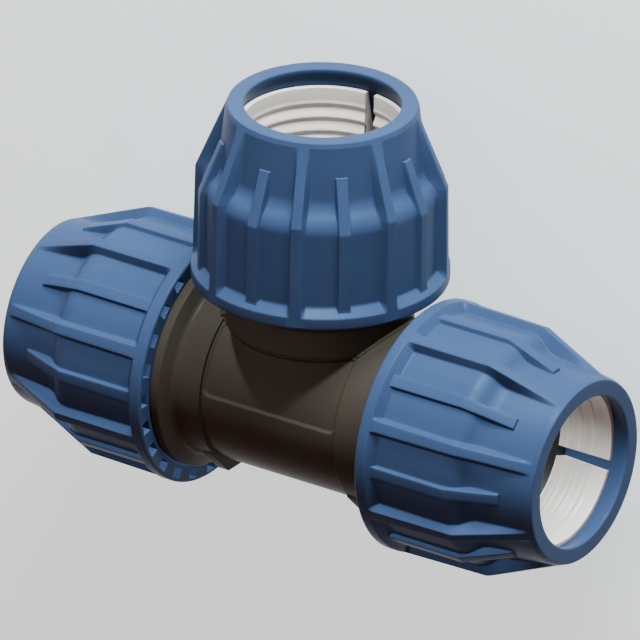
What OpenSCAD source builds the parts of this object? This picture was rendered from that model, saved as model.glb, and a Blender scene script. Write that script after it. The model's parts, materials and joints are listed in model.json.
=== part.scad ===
// Compression pipe tee: three equal arms for plastic pressure pipe.
// X runs along the straight run, Y points out of the branch, Z is normal to the plane of the tee.
// Each piece is modelled about the point where the axes of the run and the branch cross.
// The whole tee then moves along Y, so that the origin is the centre of its bounding box.
// Lengths called "from the crossing" are measured along the axis of an arm.

/* [Pipe] */
// Outside diameter of the pipe that each arm takes
pipe_d = 63; // [60:0.5:65]
// Radial clearance round the pipe, in the socket and in the mouth of the nut
pipe_gap = 0.4; // [0.2:0.05:0.6]

/* [Body] */
// Outside diameter of the two crossing tubes
tube_d = 74.4; // [70:0.2:76]
// Diameter of the waterway
waterway_d = 59; // [50:0.5:60]
// Radial rise of the neck over the tube
neck_rise = 1.2; // [0.6:0.1:2]
// Length of the neck, from the tube to the inboard edge of the collar
neck_len = 16.2; // [14:0.2:18]
// Radius of the fillet between the neck and its collar
neck_fillet = 2.6; // [1:0.2:3.4]
// Length of the sloped face in front of the collar
collar_slope = 1.9; // [1:0.1:2.6]
// Length of the collar
collar_len = 3.6; // [3:0.1:5]
// Radial rise of the collar over the thread
collar_rise = 0.7; // [0.4:0.1:1.2]
// Depth of the pipe socket, from the shoulder that stops the pipe to the end of the spigot
socket_len = 47; // [40:0.5:50]
// End of the spigot, from the collar's inboard edge
spigot_len = 42; // [38:0.5:46]
// Wall of the spigot round the seal, under the thread
spigot_wall = 3.1; // [2.6:0.1:3.6]
// Chamfer at the end of the spigot
spigot_chamfer = 1.2; // [0.5:0.1:1.8]

/* [Thread] */
// Depth of the thread
thread_depth = 2.6; // [2:0.1:3]
// Radial clearance between the nut and the spigot
thread_gap = 0.3; // [0.2:0.05:0.5]

/* [Marking pad] */
// Distance between each end of the sunk pad and the neck beside it
pad_inset = 0.3; // [0.2:0.1:6]
// Height of the pad along the branch
pad_h = 28.4; // [20:0.2:30]
// Lower edge of the pad, from the axis of the run
pad_low = 3.2; // [1:0.2:4]
// Depth of the pad
pad_depth = 0.9; // [0.5:0.1:1.4]
// Radius of the corners of the pad
pad_corner = 3; // [1.5:0.5:5]

/* [Feet] */
// Rise of the flats under the run over the neck
foot_rise = 0.7; // [0.3:0.1:1.2]
// Length of a foot along the run
foot_len = 5; // [3:0.5:7]

/* [Nut] */
// Wall of the nut between the thread and a sunk panel
nut_wall = 4.2; // [3.6:0.1:5]
// Rise of the main ribs over the panels, at the flange
rib_rise = 4.2; // [3:0.1:5]
// Radial draft of the main ribs, from the flange to the shoulder
rib_draft = 0.7; // [0.2:0.1:1.6]
// Width of a main rib
rib_w = 6; // [5:0.1:8]
// Number of main ribs, with one small rib between each two
rib_count = 8; // [6:1:9]
// Rise of the small ribs over the panels
small_rise = 2; // [1:0.1:2.8]
// Width of a small rib
small_w = 5.2; // [4:0.1:6]
// Height of the step that ends a small rib on the cone
small_step = 1.1; // [0.5:0.1:1.6]
// Distance from the end of a small rib to the mouth
small_short = 14.5; // [12:0.5:16]
// Distance from the bend of a small rib to the shoulder
small_back = 3.4; // [2:0.2:5]
// Bare length of the collar behind the nut
nut_set_back = 3.4; // [2:0.1:3.5]
// Gap between the flanges of neighbouring nuts where their rounded edges come closest
corner_gap = 0.5; // [0.3:0.1:1.5]
// Width of the flange
flange_w = 5.1; // [5:0.1:7]
// Rounding of the rear edge of the flange
flange_round = 1.1; // [0.5:0.1:1.5]
// Length of the sloped shelf between the flange and a panel
shelf_len = 3.3; // [2:0.1:4.5]
// Distance from the rear face to the shoulder
shoulder_len = 44.6; // [42:0.2:48]
// Wall of the nut at its mouth
mouth_wall = 6.7; // [6:0.1:7.5]
// Width of the plain ring round the mouth
mouth_ring = 2; // [1.2:0.1:3]
// Rounding of the inner edge of the mouth
mouth_round = 0.7; // [0.4:0.1:1]
// Length of the lip in the mouth
mouth_lip = 1.4; // [1:0.1:2]
// Steepest slope of a panel, in degrees
panel_steep = 45; // [43:1:47]
// Shallow slope of a panel on the cone, in degrees
panel_shallow = 7; // [6:0.5:9]
// Radius of the two bends of a panel
panel_bend = 10; // [9:0.5:11]
// Straight part of a panel between its bends
panel_straight = 0.9; // [0.4:0.1:1.6]
// Number of pockets in the rear face
pocket_count = 24; // [16:1:28]
// Width of a pocket round the nut
pocket_w = 5.4; // [4:0.1:6.5]
// Radial height of a pocket
pocket_h = 4; // [3:0.1:4.4]
// Depth of a pocket
pocket_depth = 4.6; // [3:0.1:5]

/* [Split ring] */
// Length of the split ring
ring_len = 24.4; // [22:0.2:26]
// Wall of the split ring at its thin end
ring_thin = 2; // [1.6:0.1:2.4]
// Wall of the split ring at its thick end
ring_thick = 8; // [7:0.1:8.4]
// Radial clearance between the pipe and the teeth
tooth_gap = 0.45; // [0.2:0.05:0.6]
// Depth of the teeth
tooth_depth = 1.2; // [0.8:0.1:1.5]
// Spacing of the teeth
tooth_pitch = 6; // [4.5:0.5:7]
// Length of the plain band in front of the teeth
ring_band = 7; // [5:0.5:8]
// Width of the slit
slit_w = 4.4; // [3:0.1:6]
// Radial clearance between the split ring and the nut
taper_gap = 0.3; // [0.2:0.05:0.5]
// Distance from the split ring to the mouth of the nut
ring_set_back = 8.5; // [7:0.1:10]

/* [Seal] */
// Diameter of the cord of the sealing ring
seal_cord = 6.2; // [5.4:0.1:6.6]
// Clearance round the sealing ring
seal_gap = 0.1; // [0.05:0.05:0.2]
// Depth of the seal chamber in the end of the spigot
seal_depth = 10; // [9:0.1:12]
// Length of the flange of the thrust ring
thrust_len = 5; // [3.5:0.1:6]
// Radial clearance of the flange of the thrust ring in the nut
thrust_gap = 1; // [0.6:0.1:1.4]
// Gap between pieces that seat end to end
seat_gap = 0.3; // [0.2:0.05:0.4]

/* [Hidden] */
$fn = 96;

nut_blue = [0.20, 0.34, 0.54];
body_black = [0.14, 0.12, 0.11];
ring_white = [0.86, 0.84, 0.80];
rubber_black = [0.06, 0.06, 0.06];

// Angle of the slit round each arm, and the number of short straight pieces in a bend
slit_angle_left = 200;
slit_angle_right = -21;
slit_angle_branch = 88;
bend_steps = 6;
over = 1;

// Radii, worked out from the pipe outwards
pipe_r = pipe_d / 2;
socket_r = pipe_r + pipe_gap;
waterway_r = waterway_d / 2;
tube_r = tube_d / 2;
neck_r = tube_r + neck_rise;
seal_mid_r = socket_r + seal_gap + seal_cord / 2;
chamber_r = seal_mid_r + seal_cord / 2 + seal_gap;
thread_root_r = chamber_r + spigot_wall;
thread_r = thread_root_r + thread_depth;
collar_r = thread_r + collar_rise;
nut_bore_r = thread_r + thread_gap;
nut_rear_r = collar_r + 2 * thread_gap;
panel_r = nut_bore_r + nut_wall;
flange_r = panel_r + rib_rise;
shoulder_r = flange_r - rib_draft;
small_r = panel_r + small_rise;
mouth_r = socket_r + mouth_wall;
tooth_r = pipe_r + tooth_gap;
band_r = tooth_r + tooth_depth / 2;
ring_thin_r = band_r + ring_thin;
ring_thick_r = tooth_r + ring_thick;
pocket_mid_r = (nut_rear_r + flange_r) / 2;

// Places along an arm, from the crossing
nut_rear = flange_r - 2 * flange_round + (corner_gap + 2 * flange_round) / sqrt(2);
collar_start = nut_rear - nut_set_back;
neck_start = collar_start - neck_len;
pad_len = 2 * (neck_start - pad_inset);
collar_end = collar_start + collar_len;
spigot_end = collar_start + spigot_len;
socket_floor = spigot_end - socket_len;
chamber_floor = spigot_end - seal_depth;
seal_mid = chamber_floor + seal_gap + seal_cord / 2;
thrust_nose = seal_mid + seal_cord / 2 + seal_gap;
thrust_back = spigot_end + seat_gap;
thrust_end = thrust_back + thrust_len;
ring_start = thrust_end + seat_gap;
ring_end = ring_start + ring_len;
mouth_z = ring_end + ring_set_back;
shelf_start = nut_rear + flange_w;
shelf_end = shelf_start + shelf_len;
shoulder_z = nut_rear + shoulder_len;
panel_end = mouth_z - mouth_ring;
small_end = mouth_z - small_short;

// Slopes as radius per unit of length along the arm
crest_slope = (shoulder_r - mouth_r) / (mouth_z - shoulder_z);
ring_slope = (ring_thick_r - ring_thin_r) / ring_len;

// The two bends of a panel: convex below, concave above, ending on the shallow cone
panel_top_r = mouth_r + crest_slope * mouth_ring;
bend_end_r = panel_r - panel_bend * (1 - cos(panel_steep)) - panel_straight * sin(panel_steep)
    - panel_bend * (cos(panel_shallow) - cos(panel_steep));
bend_end = panel_end - (bend_end_r - panel_top_r) / tan(panel_shallow);
bend_mid = bend_end - panel_bend * (sin(panel_steep) - sin(panel_shallow));
bend_start = bend_mid - panel_straight * cos(panel_steep) - panel_bend * sin(panel_steep);

// Radius of the taper inside the nut at a place along the arm
function taper_r(z) = ring_thick_r + taper_gap - ring_slope * (z - ring_start);

// Outline of a panel from the shelf to where it runs out into the mouth ring, as [radius, place]
function convex_bend() = [
    for (i = [0:bend_steps])
        let (a = panel_steep * i / bend_steps)
        [panel_r - panel_bend * (1 - cos(a)), bend_start + panel_bend * sin(a)]
];
function concave_bend() = [
    for (i = [0:bend_steps])
        let (a = panel_steep + (panel_shallow - panel_steep) * i / bend_steps)
        [bend_end_r + panel_bend * (cos(panel_shallow) - cos(a)),
         bend_end - panel_bend * (sin(a) - sin(panel_shallow))]
];

// Quarter round from one edge to the next, about a centre, as [radius, place]
function arc_points(mid, r, from, to) = [
    for (i = [0:bend_steps])
        let (a = from + (to - from) * i / bend_steps)
        [mid[0] + r * cos(a), mid[1] + r * sin(a)]
];

// Turns an arm modelled along +Z into its place
module arm_right() { rotate([0, 90, 0]) children(); }
module arm_left() { rotate([0, -90, 0]) children(); }
module arm_branch() { rotate([-90, 0, 0]) children(); }

// Moves the tee so that the middle of its extent along the branch is at the origin
module in_frame() { translate([0, (flange_r - mouth_z) / 2, 0]) children(); }

// Outside of one arm of the body from its neck to the end of its spigot
module arm_outside() {
    fillet_mid = [neck_r + neck_fillet, collar_start - collar_slope - neck_fillet];
    rotate_extrude()
        polygon(concat(
            [[0, neck_start], [neck_r, neck_start]],
            arc_points(fillet_mid, neck_fillet, 180, 120),
            [
                [collar_r, collar_start],
                [collar_r, collar_end],
                [thread_r, collar_end + collar_rise],
                [thread_r, spigot_end - spigot_chamfer],
                [thread_r - spigot_chamfer, spigot_end],
                [0, spigot_end]
            ]
        ));
}

// Space inside one arm: the pipe socket and the wider seal chamber at its end
module arm_socket() {
    rotate_extrude()
        polygon([
            [0, socket_floor],
            [socket_r, socket_floor],
            [socket_r, chamber_floor],
            [chamber_r, chamber_floor],
            [chamber_r, spigot_end + over],
            [0, spigot_end + over]
        ]);
}

// The two crossing tubes, grown or shrunk by a radial amount
module crossing_tubes(grow, length) {
    rotate([0, 90, 0]) cylinder(r = tube_r + grow, h = 2 * length, center = true);
    rotate([-90, 0, 0]) cylinder(r = tube_r + grow, h = length);
}

// Plan of the marking pad: a slab with rounded corners over the front of the body
module pad_window() {
    tall = tube_r + 2 * over;
    for (x = [pad_corner - pad_len / 2, pad_len / 2 - pad_corner])
        for (y = [pad_low + pad_corner, pad_low + pad_h - pad_corner])
            translate([x, y, 0]) cylinder(r = pad_corner, h = tall);
    translate([pad_corner - pad_len / 2, pad_low, 0])
        cube([pad_len - 2 * pad_corner, pad_h, tall]);
    translate([-pad_len / 2, pad_low + pad_corner, 0])
        cube([pad_len, pad_h - 2 * pad_corner, tall]);
}

// The sunk pad follows the crossing tubes at a constant depth
module marking_pad() {
    difference() {
        pad_window();
        crossing_tubes(-pad_depth, spigot_end);
    }
}

// Flats under the neck of one run arm: two corners of an octagon that touches the neck from below
module foot() {
    flat_r = neck_r + foot_rise;
    corner_r = flat_r / cos(22.5);
    rotate([90, 0, 90])
        linear_extrude(height = foot_len)
            polygon([
                [0, 0],
                flat_r * [cos(135), sin(135)],
                corner_r * [cos(157.5), sin(157.5)],
                corner_r * [cos(202.5), sin(202.5)],
                flat_r * [cos(225), sin(225)]
            ]);
}

module body() {
    color(body_black)
        difference() {
            union() {
                crossing_tubes(0, neck_start + over);
                arm_right() arm_outside();
                arm_left() arm_outside();
                arm_branch() arm_outside();
                for (side = [0, 1])
                    mirror([side, 0, 0]) translate([neck_start, 0, 0]) foot();
            }
            rotate([0, 90, 0]) cylinder(r = waterway_r, h = 2 * spigot_end, center = true);
            rotate([-90, 0, 0]) cylinder(r = waterway_r, h = spigot_end);
            arm_right() arm_socket();
            arm_left() arm_socket();
            arm_branch() arm_socket();
            marking_pad();
        }
}

// Blank of the nut: flange, drafted barrel and straight cone, before its panels are sunk
module nut_blank() {
    rotate_extrude()
        polygon(concat(
            [[nut_rear_r - over, nut_rear], [flange_r - flange_round, nut_rear]],
            arc_points([flange_r - flange_round, nut_rear + flange_round], flange_round, -90, 0),
            [
                [shoulder_r, shoulder_z],
                [mouth_r, mouth_z],
                [socket_r - over, mouth_z]
            ]
        ));
}

// Ring of space over the panels, open outwards
module panel_space() {
    far_r = flange_r + 4 * over;
    rotate_extrude()
        polygon(concat(
            [
                [far_r, shelf_start - (far_r - flange_r) * shelf_len / rib_rise],
                [flange_r, shelf_start],
                [panel_r, shelf_end]
            ],
            convex_bend(),
            concave_bend(),
            [
                [panel_top_r - over * tan(panel_shallow), panel_end + over],
                [far_r, panel_end + over]
            ]
        ));
}

// Crest of the small ribs
module small_rib_crest() {
    end_r = panel_top_r + (panel_end - small_end) * tan(panel_shallow) + small_step;
    rotate_extrude()
        polygon([
            [waterway_r, nut_rear],
            [small_r, nut_rear],
            [small_r, shoulder_z - small_back],
            [end_r, small_end],
            [waterway_r, small_end]
        ]);
}

// Upright slab on each of a number of equally spaced radii
module spokes(count, first, width, height) {
    for (i = [0:count - 1])
        rotate([0, 0, first + i * 360 / count])
            translate([waterway_r, -width / 2, nut_rear])
                cube([flange_r, width, height]);
}

// Bore of the nut: rear counterbore, thread, taper for the split ring and rounded mouth
module nut_bore() {
    taper_start = ring_start - 2 * seat_gap;
    chamfer = nut_bore_r - taper_r(taper_start);
    lip_r = socket_r;
    rotate_extrude()
        polygon(concat(
            [
                [0, nut_rear - over],
                [nut_rear_r, nut_rear - over],
                [nut_rear_r, collar_end + collar_rise],
                [nut_bore_r, collar_end + 2 * collar_rise],
                [nut_bore_r, taper_start - chamfer],
                [taper_r(taper_start), taper_start],
                [taper_r(ring_end), ring_end],
                [lip_r, mouth_z - mouth_round - mouth_lip]
            ],
            arc_points([lip_r + mouth_round, mouth_z - mouth_round], mouth_round, 180, 90),
            [[lip_r + mouth_round, mouth_z + over], [0, mouth_z + over]]
        ));
}

module rear_pockets() {
    for (i = [0:pocket_count - 1])
        rotate([0, 0, i * 360 / pocket_count])
            translate([pocket_mid_r - pocket_h / 2, -pocket_w / 2, nut_rear - over])
                cube([pocket_h, pocket_w, pocket_depth + over]);
}

// One nut along +Z: eight main ribs, eight small ribs and sixteen sunk S-shaped panels
module nut() {
    rib_angle = 180 / rib_count;
    color(nut_blue)
        difference() {
            nut_blank();
            difference() {
                panel_space();
                spokes(rib_count, rib_angle, rib_w, mouth_z - nut_rear + 2 * over);
                intersection() {
                    small_rib_crest();
                    spokes(rib_count, 0, small_w, mouth_z - nut_rear);
                }
            }
            nut_bore();
            rear_pockets();
        }
}

// One split ring along +Z: tapered outside, saw teeth inside and one slit
module split_ring(slit_angle) {
    tooth_count = floor((ring_len - ring_band) / tooth_pitch);
    first_tooth = ring_end - ring_band;
    color(ring_white)
        difference() {
            rotate_extrude()
                polygon(concat(
                    [[ring_thick_r, ring_start], [ring_thin_r, ring_end], [band_r, ring_end],
                     [band_r, first_tooth + tooth_depth]],
                    [
                        for (i = [0:tooth_count - 1])
                            for (p = [[tooth_r, 0], [tooth_r + tooth_depth, -tooth_depth / 2]])
                                [p[0], first_tooth + p[1] - i * tooth_pitch]
                    ],
                    [[tooth_r, first_tooth - tooth_count * tooth_pitch], [tooth_r, ring_start]]
                ));
            rotate([0, 0, slit_angle])
                translate([0, -slit_w / 2, ring_start - over])
                    cube([ring_thick_r + over, slit_w, ring_len + 2 * over]);
        }
}

// One thrust ring along +Z: a nose in the seal chamber and a flange against the split ring
module thrust_ring() {
    nose_r = chamber_r - 2 * seal_gap;
    flange_out_r = taper_r(thrust_end) - thrust_gap;
    color(body_black)
        rotate_extrude()
            polygon([
                [socket_r, thrust_nose],
                [nose_r, thrust_nose],
                [nose_r, thrust_back],
                [flange_out_r, thrust_back],
                [flange_out_r, thrust_end],
                [socket_r, thrust_end]
            ]);
}

// One sealing ring along +Z
module o_ring() {
    color(rubber_black)
        translate([0, 0, seal_mid])
            rotate_extrude()
                translate([seal_mid_r, 0]) circle(d = seal_cord);
}

in_frame() body();
in_frame() arm_left() nut();  // nut_left
in_frame() arm_right() nut();  // nut_right
in_frame() arm_branch() nut();  // nut_branch
in_frame() arm_left() split_ring(slit_angle_left);  // split_ring_left
in_frame() arm_right() split_ring(slit_angle_right);  // split_ring_right
in_frame() arm_branch() split_ring(slit_angle_branch);  // split_ring_branch
in_frame() arm_left() thrust_ring();  // thrust_ring_left
in_frame() arm_right() thrust_ring();  // thrust_ring_right
in_frame() arm_branch() thrust_ring();  // thrust_ring_branch
in_frame() arm_left() o_ring();  // o_ring_left
in_frame() arm_right() o_ring();  // o_ring_right
in_frame() arm_branch() o_ring();  // o_ring_branch
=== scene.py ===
"""Dresses the equal compression pipe tee: three ribbed screw nuts, a moulded body and white split rings."""

import json
import logging
import math
from collections.abc import Callable, Iterable, Sequence
from dataclasses import dataclass, field
from enum import Enum
from typing import Any

import bmesh
import bpy
import numpy as np
from mathutils import Matrix, Vector

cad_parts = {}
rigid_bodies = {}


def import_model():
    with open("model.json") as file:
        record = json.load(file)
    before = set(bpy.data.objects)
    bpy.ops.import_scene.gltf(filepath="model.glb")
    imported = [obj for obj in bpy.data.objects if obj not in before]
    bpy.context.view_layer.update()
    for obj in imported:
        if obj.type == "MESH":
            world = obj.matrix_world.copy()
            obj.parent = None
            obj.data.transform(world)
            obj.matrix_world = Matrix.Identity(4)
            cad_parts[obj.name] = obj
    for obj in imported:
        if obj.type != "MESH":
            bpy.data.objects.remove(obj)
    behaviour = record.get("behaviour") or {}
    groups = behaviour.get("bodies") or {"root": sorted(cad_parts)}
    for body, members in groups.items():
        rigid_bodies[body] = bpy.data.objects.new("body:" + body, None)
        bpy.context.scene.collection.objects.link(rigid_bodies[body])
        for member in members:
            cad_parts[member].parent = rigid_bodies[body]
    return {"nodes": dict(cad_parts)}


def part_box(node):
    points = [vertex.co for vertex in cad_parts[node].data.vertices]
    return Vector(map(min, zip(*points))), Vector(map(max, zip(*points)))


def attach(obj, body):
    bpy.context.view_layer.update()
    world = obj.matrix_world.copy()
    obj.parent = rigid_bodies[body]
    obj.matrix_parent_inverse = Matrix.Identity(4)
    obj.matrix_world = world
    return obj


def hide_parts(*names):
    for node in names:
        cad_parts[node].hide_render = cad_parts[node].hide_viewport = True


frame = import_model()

LOG = logging.getLogger("pipe_tee")
MM = 0.001
DOUBLES = 1e-6  # Points nearer than this are one, in metres
SLIVERS = 1e-7  # Edges shorter than this are taken out, in metres
ON_AXIS = 1e-9  # A smaller radius is on the axis
NEARLY_STRAIGHT = math.radians(89)  # Half the angle of a corner that isn't rounded
SIDE_SHARE = 0.48  # Most of a side that the rounding at one of its ends takes up
Point = tuple[float, float]  # Such as a radius and a place along the arm
Spot = tuple[float, float, float]  # Such as an angle, a radius and a place along the arm
Colour = tuple[float, float, float]


# Arms and sizes


class Arm(Enum):
    """The three arms of the tee. The value is the arm's name in the frame."""

    LEFT = "left"
    RIGHT = "right"
    BRANCH = "branch"

    @property
    def turn(self) -> Matrix:
        """Rotation from an arm modelled along +Z to its place about the crossing of the axes."""
        angle, axis = {Arm.LEFT: (-90, "Y"), Arm.RIGHT: (90, "Y"), Arm.BRANCH: (-90, "X")}[self]
        return Matrix.Rotation(math.radians(angle), 4, axis)


@dataclass(frozen=True)
class TeeSizes:
    """Sizes that the pieces share, in millimetres. Places along an arm are measured from the crossing.

    Attributes:
        crossing_y: Place of the crossing of the axes along Y in the frame.
        pitch: Axial travel of a nut in one turn.
    """

    crossing_y: float = -38.4046
    pitch: float = 6.0

    # Radii of the body, from the inside out
    waterway_r: float = 29.5
    socket_r: float = 31.9
    tube_r: float = 37.2
    chamber_r: float = 38.3
    neck_r: float = 38.4
    root_r: float = 41.4
    collar_r: float = 44.7

    # Radii of the nut, inside and outside
    taper_thin_r: float = 34.85
    taper_thick_r: float = 40.25
    nut_bore_r: float = 44.3
    nut_rear_r: float = 45.3
    mouth_r: float = 38.6
    panel_r: float = 48.5
    small_r: float = 50.5
    shoulder_r: float = 52.0
    flange_r: float = 52.695

    # Places along an arm, from the crossing to the mouth
    neck_start: float = 32.8092
    socket_floor: float = 44.0092
    collar_start: float = 49.0092
    nut_rear: float = 52.4092
    collar_end: float = 52.6092
    thread_start: float = 56.5
    shelf_start: float = 57.5092
    shelf_end: float = 60.8092
    chamber_floor: float = 81.0092
    spigot_end: float = 91.0092
    small_bend: float = 93.6092
    ring_start: float = 96.6092
    shoulder: float = 97.0092
    small_end: float = 115.0092
    ring_end: float = 121.0092
    panel_end: float = 127.5092
    mouth: float = 129.509

    @property
    def crossing(self) -> Matrix:
        """Move from the crossing of the axes to its place in the frame, in metres."""
        return Matrix.Translation((0, self.crossing_y * MM, 0))


SIZES = TeeSizes()


# Outlines and meshes


def arc(middle: Point, radius: float, first: float, last: float, steps: int) -> list[Point]:
    """Points on a piece of a circle.

    Args:
        middle: Middle of the circle.
        radius: Its radius.
        first: Angle of the first point in degrees.
        last: Angle of the last one.
        steps: Number of steps between them.

    Returns:
        The points in order, with both ends.
    """
    angles = [math.radians(first + (last - first) * k / steps) for k in range(steps + 1)]
    return [(middle[0] + radius * math.cos(a), middle[1] + radius * math.sin(a)) for a in angles]


def rounded(corners: Sequence[Spot], steps: int = 6) -> list[Point]:
    """Rounds the inner corners of an open outline.

    Args:
        corners: Corners as (radius, place, rounding). The ends are kept as they are.
        steps: Number of short pieces in each rounding.

    Returns:
        The outline as (radius, place).
    """
    points: list[Point] = [corners[0][:2]]
    for before, here, after in zip(corners, corners[1:], corners[2:]):
        corner = np.array(here[:2])
        back, ahead = np.array(before[:2]) - corner, np.array(after[:2]) - corner
        far_back, far_ahead = np.linalg.norm(back), np.linalg.norm(ahead)
        back, ahead = back / far_back, ahead / far_ahead
        half = math.acos(max(-1.0, min(1.0, float(back @ ahead)))) / 2
        if here[2] <= 0 or half > NEARLY_STRAIGHT:
            points.append(here[:2])
            continue
        reach = min(here[2] / math.tan(half), SIDE_SHARE * far_back, SIDE_SHARE * far_ahead)
        radius = reach * math.tan(half)
        middle = corner + (back + ahead) / np.linalg.norm(back + ahead) * radius / math.sin(half)
        start, end = corner + back * reach - middle, corner + ahead * reach - middle
        first = math.degrees(math.atan2(start[1], start[0]))
        sweep = math.degrees(math.atan2(start[0] * end[1] - start[1] * end[0], float(start @ end)))
        points += arc((float(middle[0]), float(middle[1])), radius, first, first + sweep, steps)
    points.append(corners[-1][:2])
    return points


def radius_at(outline: Sequence[Point]) -> Callable[[float], float]:
    """Reads an outline that runs along the arm.

    Args:
        outline: Points as (radius, place), with the places in order.

    Returns:
        A function from a place to the radius there.
    """
    places = np.array([p[1] for p in outline])
    radii = np.array([p[0] for p in outline])
    return lambda z: float(np.interp(z, places, radii))


def plain_mesh(bm: bmesh.types.BMesh, name: str) -> bpy.types.Mesh:
    """Turns loose faces into a mesh.

    Args:
        bm: The faces, in metres. It is freed.
        name: Name of the new mesh.

    Returns:
        The new mesh.
    """
    mesh = bpy.data.meshes.new(name)
    bm.to_mesh(mesh)
    bm.free()
    return mesh


def finished_mesh(bm: bmesh.types.BMesh, name: str, sharp: float = 35.0) -> bpy.types.Mesh:
    """Merges doubles, turns the faces outwards and shades a mesh smooth up to an angle.

    Args:
        bm: The faces, in metres. It is freed.
        name: Name of the new mesh.
        sharp: Edges steeper than this angle in degrees stay crisp.

    Returns:
        The new mesh.
    """
    bmesh.ops.remove_doubles(bm, verts=bm.verts, dist=DOUBLES)
    bmesh.ops.dissolve_degenerate(bm, edges=bm.edges, dist=SLIVERS)
    bmesh.ops.recalc_face_normals(bm, faces=bm.faces)
    mesh = plain_mesh(bm, name)
    mesh.polygons.foreach_set("use_smooth", [True] * len(mesh.polygons))
    mesh.set_sharp_from_angle(angle=math.radians(sharp))
    mesh.update()
    return mesh


def polar(angle: float, r: float, z: float) -> Spot:
    """Point in metres at an angle in radians, from a radius and a place along the axis in millimetres."""
    return r * MM * math.cos(angle), r * MM * math.sin(angle), z * MM


def tube(rings: Iterable[Iterable[Sequence[float]]]) -> bmesh.types.BMesh:
    """Joins sections one after another into a solid that is closed at both ends.

    Args:
        rings: The sections as loops of equally many points in metres.

    Returns:
        Its faces.
    """
    bm = bmesh.new()
    loops = [[bm.verts.new(point) for point in ring] for ring in rings]
    for low, high in zip(loops, loops[1:]):
        for k in range(len(low)):
            after = (k + 1) % len(low)
            bm.faces.new((low[k], low[after], high[after], high[k]))
    bm.faces.new(list(reversed(loops[0])))
    bm.faces.new(loops[-1])
    return bm


def revolve(outline: Sequence[Point], name: str, segments: int, place: Matrix) -> bpy.types.Object:
    """Turns an outline about +Z into a closed solid.

    Args:
        outline: Points as (radius, place) in millimetres. The first and last lie on the axis.
        name: Name of the object.
        segments: Number of flats round the axis.
        place: Matrix from the arm's own axes to the frame.

    Returns:
        The new object, linked to the scene.
    """
    bm = bmesh.new()
    turns = [2 * math.pi * k / segments for k in range(segments)]
    rings = [[bm.verts.new(polar(a, r, z)) for a in (turns if r > ON_AXIS else (0.0,))] for r, z in outline]
    for low, high in zip(rings, rings[1:]):
        for k in range(segments):
            after = (k + 1) % segments
            corners = [low[k % len(low)], low[after % len(low)], high[after % len(high)], high[k % len(high)]]
            face = list(dict.fromkeys(corners))
            if len(face) > 2:
                bm.faces.new(face)
    bm.transform(place)
    return add_object(name, finished_mesh(bm, name))


def prism(outline: Sequence[Point], low: float, high: float, name: str, place: Matrix) -> bpy.types.Object:
    """Extrudes a flat outline along +Z and puts it in its place.

    Args:
        outline: Corners in millimetres, in order.
        low: Where the solid starts along +Z, in millimetres.
        high: Where it ends.
        name: Name of the object.
        place: Matrix from the outline's own axes to the frame.

    Returns:
        The new object, linked to the scene.
    """
    bm = tube([[(x * MM, y * MM, z * MM) for x, y in outline] for z in (low, high)])
    bm.transform(place)
    return add_object(name, finished_mesh(bm, name))


def add_object(name: str, mesh: bpy.types.Mesh) -> bpy.types.Object:
    """Links a new object to the scene.

    Args:
        name: Name of the object.
        mesh: The mesh that it holds.

    Returns:
        The new object.
    """
    thing = bpy.data.objects.new(name, mesh)
    bpy.context.scene.collection.objects.link(thing)
    return thing


def discard(things: Iterable[bpy.types.Object]) -> None:
    """Removes helper objects, and their meshes where nothing else uses them.

    Args:
        things: The objects.
    """
    for thing in things:
        mesh = thing.data
        bpy.data.objects.remove(thing)
        if mesh.users == 0:
            bpy.data.meshes.remove(mesh)


def baked(thing: bpy.types.Object) -> bpy.types.Mesh:
    """Applies and removes the modifiers of an object.

    Args:
        thing: The object. It keeps its old mesh.

    Returns:
        The result as a plain mesh.
    """
    evaluated = thing.evaluated_get(bpy.context.evaluated_depsgraph_get())
    mesh = bpy.data.meshes.new_from_object(evaluated)
    thing.modifiers.clear()
    return mesh


def paint(thing: bpy.types.Object, material: bpy.types.Material) -> None:
    """Gives an object one material in place of those that it has.

    Args:
        thing: The object.
        material: The material.
    """
    thing.data.materials.clear()
    thing.data.materials.append(material)


class Join(Enum):
    """Ways in which two solids are combined."""

    ADD = "UNION"
    CUT = "DIFFERENCE"
    KEEP = "INTERSECT"


def combine(target: bpy.types.Object, tools: Sequence[bpy.types.Object], how: Join) -> None:
    """Combines solids with another one, one after another, and removes them.

    Args:
        target: The solid that is kept.
        tools: The solids that are added to it, cut from it or kept where they meet it.
        how: Which of the three is done.
    """
    for tool in tools:
        modifier = target.modifiers.new("combine", "BOOLEAN")
        modifier.operation = how.value
        modifier.solver = "EXACT"
        modifier.object = tool
        old, target.data = target.data, baked(target)
        bpy.data.meshes.remove(old)
        discard([tool])


# Geometry node trees


def feed(tree: bpy.types.NodeTree, socket: bpy.types.NodeSocket, value: Any) -> None:
    """Gives an input its value.

    Args:
        tree: The tree that holds the input.
        socket: The input.
        value: The value, or the output or signal that it is linked to.
    """
    source = value.socket if isinstance(value, Signal) else value
    if isinstance(source, bpy.types.NodeSocket):
        tree.links.new(source, socket)
    else:
        socket.default_value = source


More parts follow.
